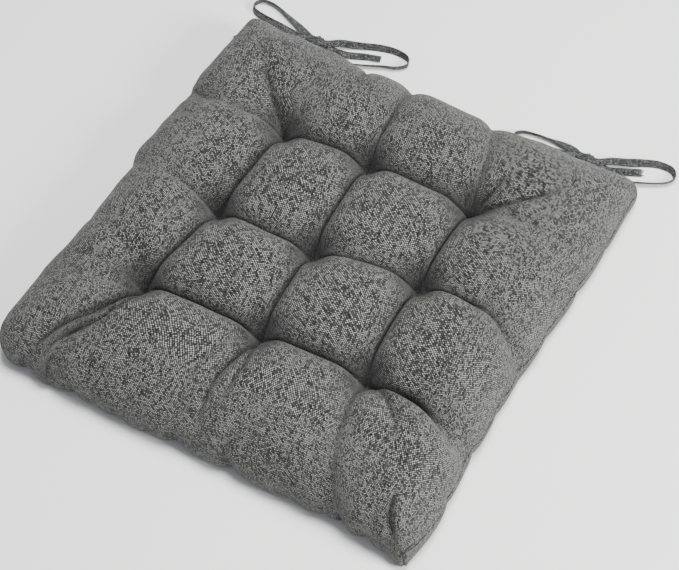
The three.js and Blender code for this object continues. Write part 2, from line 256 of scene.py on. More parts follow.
# loose creases: (plan points, depth mm at each point, half width mm, lip mm)
CREASES = [
    ([(-104, 102), (-122, 119), (-145, 141), (-174, 172)], (10, 15, 12, 2), 5.5),
    ([(-104, 102), (-130, 112), (-152, 128)], (6, 5, 0), 5),
    ([(96, 109), (124, 121), (152, 140), (178, 170)], (7, 12, 11, 1.5), 5.2),
    ([(96, 109), (110, 132), (117, 152), (122, 164)], (6, 10, 6, 0), 4.6),
    ([(96, 109), (125, 112), (163, 110)], (6, 3, 0), 6),
    ([(106, -93), (130, -102), (153, -121), (172, -149)], (6, 12, 10, 1), 4.8),
    ([(106, -93), (143, -93), (176, -99), (213, -116)], (5, 11, 9, 2), 4.8),
    ([(-1, -99), (-3, -130), (-4, -160), (2, -204)], (7, 12, 11, 6), 4.8),
    ([(-1, -99), (9, -131), (13, -160), (11, -192)], (6, 10, 8, 3), 4.5),
    ([(-1, -99), (-18, -128), (-24, -165), (-20, -205)], (3, 6, 6, 3), 5.5),
    ([(-125, -106), (-131, -127), (-145, -163), (-162, -195), (-176, -219)], (7, 14, 15, 11, 5), 4.4),
    ([(-125, -106), (-122, -130), (-130, -160), (-146, -189), (-160, -214)], (4, 9, 13, 11, 4), 4.4),
    ([(-125, -106), (-150, -126), (-180, -136)], (5, 4, 1), 6),
    ([(-109, -5), (-135, -3), (-158, -2), (-176, -4)], (4, 5, 4, 0), 5.5),
    ([(-58, 158), (-66, 188), (-71, 216)], (0, 6, 11), 7),
    ([(-175, 92), (-196, 96), (-214, 104)], (1, 6, 9), 4),
    ([(-192, 112), (-214, 116)], (1, 5), 4),
    ([(192, -176), (195, -191), (199, -203), (208, -212)], (1, 13, 16, 8), 4.8),
    ([(178, -190), (184, -204), (190, -216)], (1, 5, 3), 4.2),
    ([(42, -170), (38, -192), (33, -212)], (0, 4, 5), 5),
    ([(150, -120), (166, -160), (172, -196)], (0, 2.5, 1), 7),
    ([(60, 150), (52, 180)], (0, 2), 8),
    ([(-150, 60), (-178, 66), (-205, 70)], (0, 2.5, 2.5), 6),
    ([(-160, -60), (-188, -66), (-212, -70)], (0, 2.5, 3), 6),
    ([(160, 60), (190, 58), (214, 60)], (0, 2.2, 2), 8),
]


def crease_field(plan):
    """Depth of the loose creases at plan points, and the push towards their lines."""
    depth = np.zeros(len(plan))
    push = np.zeros((len(plan), 2))
    for pts, dep, width in CREASES:
        pts = np.array(pts, float)
        # a smooth path through the points
        t = np.linspace(0, len(pts) - 1, 14 * (len(pts) - 1) + 1)
        path = np.stack([lagrange(t, range(len(pts)), pts[:, 0]), lagrange(t, range(len(pts)), pts[:, 1])], 1)
        dp = np.interp(t, range(len(dep)), dep)
        best = np.full(len(plan), 1e9)
        amp = np.zeros(len(plan))
        vec = np.zeros((len(plan), 2))
        for a, b, da, db in zip(path[:-1], path[1:], dp[:-1], dp[1:]):
            ab = b - a
            tt = np.clip(((plan - a) @ ab) / (ab @ ab), 0, 1)
            off = a + tt[:, None] * ab - plan
            d = np.linalg.norm(off, axis=1)
            m = d < best
            best[m] = d[m]
            amp[m] = (da + (db - da) * tt)[m]
            vec[m] = off[m]
        s = np.sqrt((best / width) ** 2 + 0.035) - 0.1
        prof = np.where(s < 1, 0.66 * (1 - np.clip(s, 0, 1)) ** 2, 0) + 0.40 * np.exp(-(s / 1.9) ** 2)
        depth = np.maximum(depth, amp * prof) + 0.25 * np.minimum(depth, amp * prof)
        pull = 0.42 * np.clip(amp / 8, 0, 1) * np.exp(-(s / 1.5) ** 2)
        push += vec * pull[:, None]
    return depth, push


# short puckers where the cloth is gathered into the seam: (side, place along it mm, depth, half width)
PUCKERS = [
    ("front", -187, 4.6, 5), ("front", -132, 4.6, 6), ("front", -108, 2.0, 5), ("front", -81, 3.2, 5), ("front", -48, 2.2, 5), ("front", -22, 4.6, 5.5), ("front", 37, 4.4, 5.5),
    ("front", 54, 1.2, 4), ("front", 97, 2.4, 5), ("front", 132, 2.2, 5), ("front", 149, 4.0, 5), ("front", 175, 4.4, 5), ("front", 196, 2.5, 4),
    ("left", 105, 3.2, 5), ("left", 62, 1.0, 5), ("left", 30, 1.4, 5), ("left", -28, 2.2, 5), ("left", -58, 1.2, 5), ("left", -107, 2.6, 5), ("left", -165, 2.0, 6), ("left", 165, 1.4, 5),
    ("right", -150, 1.5, 6), ("right", -96, 2.2, 6), ("right", -52, 1.3, 5), ("right", 40, 1.2, 6), ("right", 96, 1.8, 6), ("right", 150, 1.4, 6),
    ("back", -150, 1.2, 6), ("back", -92, 1.4, 6), ("back", 20, 1.4, 6), ("back", 112, 1.6, 6), ("back", 168, 1.2, 6),
]
class Topology:
    """Index arrays of a closed box of cloth with n cells a side."""

    def __init__(self, n, rows):
        k = n + 1
        self.n, self.rows = n, rows
        self.top = np.arange(k * k).reshape(k, k)              # [j, i]: j along y, i along x
        self.bot = self.top + k * k
        per = lambda g: np.concatenate([g[0, :-1], g[:-1, -1], g[-1, :0:-1], g[:0:-1, 0]])
        self.rim_top, self.rim_bot = per(self.top), per(self.bot)
        inner = 2 * k * k + np.arange((rows - 1) * 4 * n).reshape(rows - 1, 4 * n)
        self.side = np.vstack([self.rim_top[None], inner, self.rim_bot[None]])   # [row, around]
        self.count = 2 * k * k + (rows - 1) * 4 * n
        t, b, s = self.top, self.bot, np.hstack([self.side, self.side[:, :1]])
        q = [np.stack([t[:-1, :-1], t[:-1, 1:], t[1:, 1:], t[1:, :-1]], -1).reshape(-1, 4),
             np.stack([b[:-1, :-1], b[1:, :-1], b[1:, 1:], b[:-1, 1:]], -1).reshape(-1, 4),
             np.stack([s[1:, :-1], s[1:, 1:], s[:-1, 1:], s[:-1, :-1]], -1).reshape(-1, 4)]
        self.parts = [len(v) for v in q]
        self.quad = np.vstack(q)


def noise2(x, y, seed, wave, count=24):
    rng = np.random.default_rng(seed)
    out = np.zeros(np.broadcast(x, y).shape)
    for _ in range(count):
        a = rng.uniform(0, 2 * np.pi)
        k = 2 * np.pi / (wave * rng.uniform(0.7, 1.5))
        out += np.sin(k * (x * np.cos(a) + y * np.sin(a)) + rng.uniform(0, 2 * np.pi))
    return out / math.sqrt(count / 2)


def pad_shape():
    tp = Topology(N, ROWS)
    u = np.arange(N + 1) / BAY
    p, q = np.meshgrid(u, u)
    env, total, ax, ay = sheet(p, q)
    nrm = np.stack([np.sin(ax), np.sin(ay), np.cos(ax) * np.cos(ay) + 0.02], -1)
    nrm /= np.linalg.norm(nrm, axis=-1, keepdims=True)
    x = env[..., 0].ravel()
    y = env[..., 1].ravel()
    plan = np.stack([x, y], 1)
    dep, push = crease_field(plan)
    wr = noise2(x, y, 3, 48) * 0.5 + noise2(x, y, 4, 21) * 0.14
    # small gathers that fan out of every tuft
    for k, (tx, ty) in enumerate(TUFTS):
        r, a = np.hypot(x - tx, y - ty), np.arctan2(y - ty, x - tx)
        fan = np.sin(7 * a + 1.7 * k) + 0.7 * np.sin(11 * a + 2.9 * k + 0.02 * r) + 0.4 * np.sin(17 * a + k)
        wr += 0.38 * fan * np.exp(-r / 24) * (1 - np.exp(-(r / 9) ** 2))
    disp = np.minimum(total.ravel() + dep, CROWN - TUFT_Z + 0.6) - wr     # no fold runs deeper than a tuft
    pos = np.zeros((tp.count, 3))
    top = env.reshape(-1, 3) - nrm.reshape(-1, 3) * disp[:, None]
    top[:, :2] += push
    pos[tp.top.ravel()] = top
    # sides: from the rim over the steepest line and round to the floor
    rim_env = env.reshape(-1, 3)[tp.rim_top]
    rim = pos[tp.rim_top]
    rim_drop = disp[tp.rim_top]
    around = np.arange(4 * N)
    which = around // N
    out_n = np.array([(0, -1), (1, 0), (0, 1), (-1, 0)], float)
    near = np.minimum(around % N, N - around % N) / float(N) * 4      # 0 at a corner, in bays
    corner = 1 - smooth(near / 0.42)
    along = np.where(which % 2 == 0, rim_env[:, 0], rim_env[:, 1])
    puck = np.zeros(4 * N)
    for side, at, depth, width in PUCKERS:
        m = which == SIDES.index(side)
        d = np.abs(along - at) / width
        puck += np.where(m, 1.9 * depth * (0.8 * np.exp(-np.abs(d) / 1.5) + 0.2 * np.exp(-(d / 0.5) ** 2)), 0)
    # outward direction: square to each side, turning over the rounded corners
    seq = rim_env[:, :2]
    tang = np.roll(seq, -2, 0) - np.roll(seq, 2, 0)
    outv = np.stack([tang[:, 1], -tang[:, 0]], 1)
    outv /= np.linalg.norm(outv, axis=1, keepdims=True)
    reach = (outline("right", np.array([0.0]))[0] - CREST)          # the shoulder's half width
    full = reach * (1 - math.sin(RIM))
    for r in range(1, ROWS + 1):
        z = SIDE_Z[r - 1]
        if z >= EDGE_Z:
            th = math.acos(min((z - EDGE_Z) / (CROWN - EDGE_Z), 1.0))
            outw = full * (math.sin(th) - math.sin(RIM)) / (1 - math.sin(RIM))
        else:
            cs = math.sqrt(max(1 - (1 - z / EDGE_Z) ** 2, 0.0))
            outw = full - TUCK * (1 - 0.45 * corner) * (1 - cs ** 0.9)
        f = r / float(ROWS)
        fade = 1 - smooth((f - 0.1) / 0.9)
        pk = puck * smooth(f / 0.25)
        move = rim_drop * fade * 0.8 * (1 - corner) + pk * (1 - corner * 0.6)
        pl = rim_env[:, :2] + outv * (outw - move)[:, None]
        v = np.c_[pl, np.full(4 * N, z)]
        if r < ROWS:
            pos[tp.side[r]] = v
        else:
            bot_rim = v
    # blend the first rows into the sculpted rim so that the creases carry on
    for r in range(1, ROWS):
        f = r / float(ROWS)
        k = (1 - smooth(f / 0.45))
        base = np.c_[rim_env[:, :2], rim_env[:, 2]]
        shift = rim - base
        shift2 = shift.copy()
        keep = (rim_drop * (1 - smooth((f - 0.1) / 0.9)) * 0.8 * (1 - corner))[:, None] * np.c_[-outv, np.zeros(4 * N)]
        pos[tp.side[r]] += (shift2 - keep) * k * (1 - corner[:, None] * 0.2)
    # underside
    u2 = np.linspace(0, 4, N + 1)
    cxb = [col_x(k, q) for k in range(3)]
    ryb = [row_y(k, p) for k in range(3)]

    def across(v, l1, l2, l3, lo, hi):
        b = np.clip(np.floor(v).astype(int), 0, 3)
        f = v - b
        seq = [lo, l1, l2, l3, hi]
        out = 0
        for k in range(4):
            out = out + np.where(b == k, seq[k] + (seq[k + 1] - seq[k]) * f, 0)
        return out

    ring = np.zeros((N + 1, N + 1, 2))
    bx = across(p, cxb[0], cxb[1], cxb[2], np.full(p.shape, -1.0), np.full(p.shape, 1.0))
    # edge positions come from the side's last row
    e = [bot_rim[c * N:(c + 1) * N + 1] if c < 3 else np.vstack([bot_rim[3 * N:], bot_rim[:1]]) for c in range(4)]
    left = e[3][::-1, 0][None, :].repeat(N + 1, 0).T
    rightx = e[1][:, 0][None, :].repeat(N + 1, 0).T
    front = e[0][:, 1][None, :].repeat(N + 1, 0)
    backy = e[2][::-1, 1][None, :].repeat(N + 1, 0)
    bx = across(p, cxb[0], cxb[1], cxb[2], left, rightx)
    by = across(q, ryb[0], ryb[1], ryb[2], front, backy)
    # along an edge the x values follow the side's own places
    wq = smooth((np.abs(q - 2) - 1.4) / 0.6)
    ex = np.where(q < 2, e[0][:, 0][None, :], e[2][::-1, 0][None, :])
    bx = bx * (1 - wq) + ex * wq
    wp = smooth((np.abs(p - 2) - 1.4) / 0.6)
    ey = np.where(p < 2, e[3][::-1, 1][:, None], e[1][:, 1][:, None])
    by = by * (1 - wp) + ey * wp
    r2 = np.full(p.shape, 1e9)
    for tx, ty in TUFTS:
        r2 = np.minimum(r2, (bx - tx) ** 2 + (by - ty) ** 2)
    r = np.sqrt(r2)
    dcol = np.minimum.reduce([np.abs(p - k) for k in (1, 2, 3)])
    drow = np.minimum.reduce([np.abs(q - k) for k in (1, 2, 3)])
    mask = (1 - smooth((np.abs(p - 2) - 1.0) / 0.5)) * (1 - smooth((np.abs(q - 2) - 1.0) / 0.5))
    net = 2.6 * mask * np.maximum(np.exp(-(dcol / 0.07) ** 2), np.exp(-(drow / 0.07) ** 2))
    bz = np.maximum(UNDER_Z * (0.7 * np.exp(-(r / 9) ** 2) + 0.3 * np.exp(-(r / 24) ** 2)) + 0.6, net)
    bz = bz * smooth(np.minimum.reduce([p, 4 - p, q, 4 - q]) / 0.12)
    bz += np.clip(noise2(bx, by, 9, 42) * 0.5 - 0.3, 0, None) * smooth(np.minimum.reduce([p, 4 - p, q, 4 - q]) / 0.2)
    bz = np.where(bz < 0.62, np.clip(bz - 0.6, 0, None), bz - 0.6)
    pos[tp.bot.ravel()] = np.stack([bx, by, bz], -1).reshape(-1, 3)
    pos[tp.rim_bot] = bot_rim * [1, 1, 0]
    shade = np.zeros(tp.count)
    # painted shade: darker where the valleys and the loose creases run deep, standing in for the shadow in them
    shade[tp.top.ravel()] = smooth((total.ravel() - 5) / 21.0) + 0.9 * smooth((dep - 2.0) / 7.0)
    return tp, pos, np.clip(shade, 0, 1)


def relaxed(tp, pos, times, strength=0.5):
    """A little Laplacian smoothing of the whole surface."""
    a, b = tp.quad[:, [0, 1, 2, 3]].ravel(), tp.quad[:, [1, 2, 3, 0]].ravel()
    cnt = np.bincount(a, minlength=tp.count) + np.bincount(b, minlength=tp.count)
    for _ in range(times):
        acc = np.zeros_like(pos)
        for k in range(3):
            acc[:, k] = np.bincount(a, pos[b, k], tp.count) + np.bincount(b, pos[a, k], tp.count)
        pos = pos + (acc / cnt[:, None] - pos) * strength
        pos[:, 2] = np.maximum(pos[:, 2], 0)
    return pos


# ------------------------------------------------------------------ pad object
def add_mesh(name, verts, faces, material, smooth_shade=True, uv=None):
    me = bpy.data.meshes.new(name)
    me.from_pydata([tuple(v) for v in np.asarray(verts, float)], [], [tuple(int(i) for i in f) for f in faces])
    if uv is not None:
        layer = me.uv_layers.new(name="weave")
        layer.data.foreach_set("uv", np.asarray(uv, np.float32).ravel())
    me.update()
    me.polygons.foreach_set("use_smooth", [smooth_shade] * len(me.polygons))
    me.materials.append(material)
    ob = bpy.data.objects.new(name, me)
    bpy.context.scene.collection.objects.link(ob)
    return ob


class Nodes:
    """Small helper for writing node trees."""

    def __init__(self, name):
        self.mat = bpy.data.materials.new(name)
        self.mat.use_nodes = True
        self.t = self.mat.node_tree
        self.t.nodes.clear()
        self.out = self.t.nodes.new("ShaderNodeOutputMaterial")
        self.bsdf = self.t.nodes.new("ShaderNodeBsdfPrincipled")
        self.t.links.new(self.bsdf.outputs[0], self.out.inputs[0])

    def put(self, socket, v):
        if hasattr(v, "default_value") or isinstance(v, bpy.types.NodeSocket):
            self.t.links.new(v, socket)
        else:
            socket.default_value = v

    def math(self, op, a, b=0.0, c=0.0, clamp=False):
        n = self.t.nodes.new("ShaderNodeMath")
        n.operation = op
        n.use_clamp = clamp
        for s, v in zip(n.inputs, (a, b, c)):
            self.put(s, v)
        return n.outputs[0]

    def noise(self, vec, scale, detail=2.0, rough=0.5, dist=0.0, dims="3D"):
        n = self.t.nodes.new("ShaderNodeTexNoise")
        n.noise_dimensions = dims
        self.put(n.inputs["Vector"], vec)
        n.inputs["Scale"].default_value = scale
        n.inputs["Detail"].default_value = detail
        n.inputs["Roughness"].default_value = rough
        n.inputs["Distortion"].default_value = dist
        return n.outputs["Fac"]

    def white(self, vec):
        n = self.t.nodes.new("ShaderNodeTexWhiteNoise")
        n.noise_dimensions = "3D"
        self.put(n.inputs["Vector"], vec)
        return n.outputs["Value"]

    def xyz(self, x, y, z=0.0):
        n = self.t.nodes.new("ShaderNodeCombineXYZ")
        for s, v in zip(n.inputs, (x, y, z)):
            self.put(s, v)
        return n.outputs[0]

    def split(self, vec):
        n = self.t.nodes.new("ShaderNodeSeparateXYZ")
        self.put(n.inputs[0], vec)
        return n.outputs[0], n.outputs[1], n.outputs[2]

    def ramp(self, fac, stops):
        n = self.t.nodes.new("ShaderNodeValToRGB")
        self.put(n.inputs[0], fac)
        el = n.color_ramp.elements
        while len(el) < len(stops):
            el.new(0.5)
        for e, (at, col) in zip(el, stops):
            e.position = at
            e.color = tuple(col) + (1,) if len(col) == 3 else col
        return n.outputs[0]

    def mix(self, fac, a, b, kind="MIX"):
        n = self.t.nodes.new("ShaderNodeMix")
        n.data_type = "RGBA"
        n.blend_type = kind
        self.put(n.inputs["Factor"], fac)
        self.put(n.inputs[6], a)
        self.put(n.inputs[7], b)
        return n.outputs[2]

    def attribute(self, name):
        n = self.t.nodes.new("ShaderNodeAttribute")
        n.attribute_name = name
        return n.outputs["Vector"]

    def objcoord(self):
        return self.t.nodes.new("ShaderNodeTexCoord").outputs["Object"]

    def bump(self, height, strength, distance, normal=None):
        n = self.t.nodes.new("ShaderNodeBump")
        n.inputs["Strength"].default_value = strength
        n.inputs["Distance"].default_value = distance
        self.put(n.inputs["Height"], height)
        if normal is not None:
            self.put(n.inputs["Normal"], normal)
        return n.outputs[0]


def heather(name, pitch=0.00104, tone=1.0, blue=0.0, contrast=1.0, source="weave", paint_crease_shade=False):
    """Grey heather plain weave: light and dark yarns that change colour along their length, with slubs. source holds metres of cloth."""
    m = Nodes(name)
    u, v, _ = m.split(m.attribute(source))
    # yarns wander a little
    wob = m.noise(m.attribute(source), 60.0, 2.0)
    wob2 = m.noise(m.attribute(source), 75.0, 2.0, dist=0.2)
    u = m.math("MULTIPLY_ADD", m.math("SUBTRACT", wob, 0.5), 0.0022, u)
    v = m.math("MULTIPLY_ADD", m.math("SUBTRACT", wob2, 0.5), 0.0022, v)
    a = m.math("DIVIDE", u, pitch)
    b = m.math("DIVIDE", v, pitch * 0.84)
    ia, ib = m.math("FLOOR", a), m.math("FLOOR", b)
    fa, fb = m.math("FRACT", a), m.math("FRACT", b)
    par = m.math("PINGPONG", m.math("ADD", ia, ib), 1.0)            # 0 warp above, 1 weft above
    # the round of each yarn
    ra = m.math("SINE", m.math("MULTIPLY", fa, math.pi))
    rb = m.math("SINE", m.math("MULTIPLY", fb, math.pi))
    warp_h = m.math("MULTIPLY", m.math("POWER", ra, 0.6), m.math("MULTIPLY_ADD", rb, 0.55, 0.45))
    weft_h = m.math("MULTIPLY", m.math("POWER", rb, 0.6), m.math("MULTIPLY_ADD", ra, 0.55, 0.45))
    inv = m.math("SUBTRACT", 1.0, par)
    high = m.math("ADD", m.math("MULTIPLY", warp_h, inv), m.math("MULTIPLY", weft_h, par))
    # colour along the yarns: each yarn changes shade every few millimetres, and now and then has a bright slub
    wv = m.math("FLOOR", m.math("ADD", m.math("DIVIDE", v, 0.0065), m.math("MULTIPLY", m.white(m.xyz(ia, 0.0, 5.0)), 9.0)))
    wu = m.math("FLOOR", m.math("ADD", m.math("DIVIDE", u, 0.0033), m.math("MULTIPLY", m.white(m.xyz(0.0, ib, 6.0)), 9.0)))
    warp_v, weft_v = m.white(m.xyz(ia, wv, 2.0)), m.white(m.xyz(wu, ib, 3.0))
    beside, below = m.white(m.xyz(m.math("ADD", ia, 1.0), ib, 1.0)), m.white(m.xyz(ia, m.math("ADD", ib, 1.0), 1.0))
    cell = m.math("MULTIPLY_ADD", m.math("ADD", beside, below), -0.5, m.white(m.xyz(ia, ib, 1.0)))
    sv = m.math("FLOOR", m.math("ADD", m.math("DIVIDE", v, 0.024), m.math("MULTIPLY", m.white(m.xyz(ia, 0.0, 8.0)), 9.0)))
    su = m.math("FLOOR", m.math("ADD", m.math("DIVIDE", u, 0.011), m.math("MULTIPLY", m.white(m.xyz(0.0, ib, 9.0)), 9.0)))
    slub, slub2 = m.white(m.xyz(ia, sv, 4.0)), m.white(m.xyz(su, ib, 11.0))
    yarn = m.math("ADD", m.math("MULTIPLY", warp_v, inv), m.math("MULTIPLY", weft_v, par))
    yarn = m.math("MULTIPLY_ADD", yarn, 0.15, m.math("MULTIPLY_ADD", cell, 0.36, m.math("MULTIPLY_ADD", inv, 0.40, 0.215)))
    yarn = m.math("MULTIPLY_ADD", m.math("SUBTRACT", yarn, 0.5), contrast, 0.5)
    cloud = m.noise(m.attribute(source), 14.0, 3.0)
    yarn = m.math("MULTIPLY_ADD", m.math("SUBTRACT", cloud, 0.5), 0.10, yarn)
    k = tone
    dark, low, mid, light = [tuple(c * k * f for c, f in zip(col, (1 - 0.35 * blue, 1 - 0.05 * blue, 1 + 0.5 * blue))) for col in
                             ((0.006, 0.0065, 0.007), (0.022, 0.023, 0.0235), (0.205, 0.211, 0.204), (0.95, 0.95, 0.92))]
    col = m.ramp(yarn, ((0.06, dark), (0.42, low), (0.64, mid), (0.94, light)))
    bright = (0.50 * k, 0.50 * k, 0.475 * k, 1)
    f1 = m.math("MULTIPLY", m.math("MULTIPLY", m.math("SUBTRACT", slub, 0.945), 30.0, clamp=True), m.math("MULTIPLY_ADD", inv, 0.62, 0.28))
    f2 = m.math("MULTIPLY", m.math("MULTIPLY", m.math("SUBTRACT", slub2, 0.955), 30.0, clamp=True), m.math("MULTIPLY_ADD", par, 0.5, 0.1))
    col = m.mix(f1, col, bright)
    col = m.mix(f2, col, bright)
    # dark gaps between the yarns
    gap = m.math("SUBTRACT", 1.0, m.math("MULTIPLY", high, 1.25), clamp=True)
    line = m.math("SUBTRACT", 1.0, m.math("MULTIPLY", ra, 1.35), clamp=True)
    gap = m.math("MAXIMUM", gap, m.math("MULTIPLY", line, 1.0))
    col = m.mix(m.math("MULTIPLY", gap, 0.92), col, (0.006 * k, 0.0066 * k, 0.007 * k, 1))
    if paint_crease_shade:
        # painted shade: the cloth is darkened where the crease attribute is high, in the folds, along the seam and down
        # the darts, standing in for the shadow there
        deep, _, _ = m.split(m.attribute("crease"))
        col = m.mix(m.math("MULTIPLY", deep, 0.72), col, (0.008, 0.0085, 0.009, 1))
    m.put(m.bsdf.inputs["Base Color"], col)
    rough = m.math("MULTIPLY_ADD", m.noise(m.attribute(source), 900.0, 1.0), 0.12, 0.80)
    m.put(m.bsdf.inputs["Roughness"], rough)
    m.bsdf.inputs["Specular IOR Level"].default_value = 0.22
    m.bsdf.inputs["Sheen Weight"].default_value = 0.10
    m.bsdf.inputs["Sheen Roughness"].default_value = 0.5
    fuzz = m.noise(m.attribute(source), 2600.0, 2.0)
    h = m.math("MULTIPLY_ADD", fuzz, 0.25, high)
    h = m.math("MULTIPLY_ADD", m.math("ADD", f1, f2), 0.5, h)
    m.put(m.bsdf.inputs["Normal"], m.bump(h, 0.75, 0.00042))
    return m.mat


def thread_material(name, tone):
    m = Nodes(name)
    c = m.objcoord()
    n = m.noise(c, 1800.0, 3.0)
    x, y, z = m.split(c)
    ply = m.math("SINE", m.math("MULTIPLY", m.math("ADD", m.math("ADD", x, y), z), 2 * math.pi / 0.0009))
    col = m.ramp(n, ((0.3, tuple(t * 0.55 for t in tone)), (0.7, tone)))
    m.put(m.bsdf.inputs["Base Color"], col)
    m.bsdf.inputs["Roughness"].default_value = 0.72
    m.bsdf.inputs["Specular IOR Level"].default_value = 0.3
    h = m.math("MULTIPLY_ADD", ply, 0.5, n)
    m.put(m.bsdf.inputs["Normal"], m.bump(h, 0.6, 0.0002))
    return m.mat


def fibre_material(name):
    m = Nodes(name)
    c = m.objcoord()
    x, y, z = m.split(c)
    curl = m.noise(c, 90.0, 4.0, 0.7, 2.2)
    hair = m.noise(m.xyz(m.math("MULTIPLY", x, 3.0), y, m.math("MULTIPLY", z, 0.6)), 420.0, 4.0, 0.7, 3.0)
    col = m.ramp(hair, ((0.25, (0.55, 0.55, 0.53)), (0.75, (0.88, 0.88, 0.86))))
    m.put(m.bsdf.inputs["Base Color"], col)
    m.put(m.bsdf.inputs["Roughness"], m.math("MULTIPLY_ADD", hair, 0.2, 0.72))
    m.bsdf.inputs["Sheen Weight"].default_value = 0.3
    m.put(m.bsdf.inputs["Normal"], m.bump(m.math("MULTIPLY_ADD", curl, 1.5, hair), 0.9, 0.0015))
    return m.mat


# the top cloth carries painted crease shade in its colour
cover_mat = heather("heather_weave", tone=0.335, contrast=1.4, paint_crease_shade=True)
under_mat = heather("heather_weave_underside", tone=0.315, contrast=1.4)
tie_mat = heather("heather_weave_tie", pitch=0.0009, tone=0.36, blue=0.08, contrast=0.9)
thread_mat = thread_material("sewing_thread", (0.045, 0.047, 0.05))
tuft_mat = thread_material("tufting_thread", (0.06, 0.062, 0.065))
fibre_mat = fibre_material("polyester_fibre")

tp, pos, crease_shade = pad_shape()
# on the right side the seam climbs as it comes to the front corner
from_corner = (np.arange(4 * N) - N) / float(N) * 430.0
climb = np.where((from_corner >= 0) & (from_corner < 430), 7.5 * np.exp(-(from_corner / 34.0) ** 2), 0)
for r in range(2, 13):
    pos[tp.side[r], 2] += climb * (smooth((r - 1) / 4.0) if r <= SEAM_SIDE else smooth((13 - r) / 8.0))
pos = relaxed(tp, pos, 2)
SEAM_ROW = np.where(np.arange(4 * N) // N == 0, SEAM_FRONT, SEAM_SIDE)
ring_xy = pos[tp.side[10]][:, :2]
# the sewn line draws the cloth in a little all round
inward = -ring_xy / np.linalg.norm(ring_xy, axis=1, keepdims=True)
around = np.arange(4 * N)
away = np.minimum(around % N, N - around % N)
soft = np.clip(away / 3.0, 0, 1)
for r in range(5, ROWS):
    d = np.abs(r - SEAM_ROW)
    sink = np.where(d == 0, 2.1, np.where(d == 1, -0.35, 0.0)) * soft
    pos[tp.side[r], :2] += inward * sink[:, None]
# darts: the stitched corners
for c in range(4):
    col = (c * N + np.array([-2, -1, 0, 1, 2])) % (4 * N)
    for r in range(1, ROWS + 1):
        ids = tp.side[r][col]
        corner_in = -np.sign(pos[ids[2], :2]) / math.sqrt(2)
        pos[ids[2], :2] += corner_in * 1.5
        pos[ids[[1, 3]], :2] -= corner_in * 0.3

# painted shade along the seam groove and down the corner darts
crease_shade[tp.side[SEAM_ROW, np.arange(4 * N)]] = 0.6
for c in range(4):
    crease_shade[tp.side[:, c * N]] = 0.75

# cloth coordinates, in metres of cloth
SHEET = 0.5
ulin = np.arange(N + 1) / N * SHEET + 0.12
side_len = np.concatenate([[0], np.cumsum(np.linalg.norm(np.diff(pos[tp.side[:, N + N // 2 + 20]], axis=0), axis=1))]) / 1000.0


def corner_uv():
    uu, vv = np.meshgrid(ulin, ulin)
    tuv = np.stack([uu, vv], -1)
    t = np.stack([tuv[:-1, :-1], tuv[:-1, 1:], tuv[1:, 1:], tuv[1:, :-1]], 2).reshape(-1, 4, 2)
    b = np.stack([tuv[:-1, :-1], tuv[1:, :-1], tuv[1:, 1:], tuv[:-1, 1:]], 2).reshape(-1, 4, 2) + 0.0004
    lo, hi = ulin[0], ulin[-1]
    sides = []
    quads = np.zeros((ROWS, 4 * N, 4, 2))
    k = np.arange(N)
    a0, a1 = ulin[k], ulin[k + 1]
    for r in range(ROWS):
        d0, d1 = side_len[r], side_len[r + 1]
        for w in range(4):
            s0, s1 = (a0, a1) if w < 2 else (ulin[N - k], ulin[N - k - 1])
            if w == 0:
                f = lambda s, d: np.stack([s, np.full(N, lo - d)], -1)
            elif w == 1:
                f = lambda s, d: np.stack([np.full(N, hi + d), s], -1)
            elif w == 2:
                f = lambda s, d: np.stack([s, np.full(N, hi + d)], -1)
            else:
                f = lambda s, d: np.stack([np.full(N, lo - d), s], -1)
            quads[r, w * N:(w + 1) * N] = np.stack([f(s0, d1), f(s1, d1), f(s1, d0), f(s0, d0)], 1)
    return t, b, quads.reshape(-1, 4, 2)


uv_t, uv_b, uv_s = corner_uv()
nt, nb, ns = tp.parts
side_row = np.repeat(np.arange(ROWS), 4 * N)
side_at = np.tile(np.arange(4 * N), ROWS)
above = side_row < SEAM_ROW[side_at]
top_faces = np.vstack([tp.quad[:nt], tp.quad[nt + nb:][above]])
top_uv = np.concatenate([uv_t, uv_s[above]])
low_faces = np.vstack([tp.quad[nt:nt + nb], tp.quad[nt + nb:][~above]])
low_uv = np.concatenate([uv_b, uv_s[~above]])


def panel(name, faces, uv, material):
    used = np.unique(faces)
    new = np.full(tp.count, -1)
    new[used] = np.arange(len(used))
    ob = add_mesh(name, pos[used] / 1000.0, new[faces], material, uv=uv)
    # the painted crease shade goes onto the cloth as a colour attribute
    layer = ob.data.color_attributes.new("crease", "FLOAT_COLOR", "POINT")
    layer.data.foreach_set("color", np.repeat(crease_shade[used, None], 4, axis=1).astype(np.float32).ravel())
    return ob


def thicken(ob, mm):
    md = ob.modifiers.new("thick", "SOLIDIFY")
    md.thickness = mm / 1000.0
    md.offset = -1
    md.use_even_offset = False
    dg = bpy.context.evaluated_depsgraph_get()
    me = bpy.data.meshes.new_from_object(ob.evaluated_get(dg))
    ob.modifiers.clear()
    old = ob.data
    ob.data = me
    bpy.data.meshes.remove(old)


top = panel("cover_top_cloth", top_faces, top_uv, cover_mat)
low = panel("cover_underside_cloth", low_faces, low_uv, under_mat)
for ob in (top, low):
    thicken(ob, 0.7)
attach(top, "pad")
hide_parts("cover_top_panel")
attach(low, "pad")
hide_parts("cover_bottom_panel")

# ------------------------------------------------------------------ filling: one loose mass, just inside the cloth
def vertex_normals(v, quads):
    fn = np.cross(v[quads[:, 2]] - v[quads[:, 0]], v[quads[:, 3]] - v[quads[:, 1]])
    out = np.zeros_like(v)
    for k in range(3):
        out[:, k] = np.bincount(quads.ravel(), np.repeat(fn[:, k], 4), len(v))
    return out / (np.linalg.norm(out, axis=1, keepdims=True) + 1e-12)


half = Topology(N // 2, ROWS // 2)
fpos = np.zeros((half.count, 3))
rows_pick = np.round(np.linspace(0, ROWS, ROWS // 2 + 1)).astype(int)
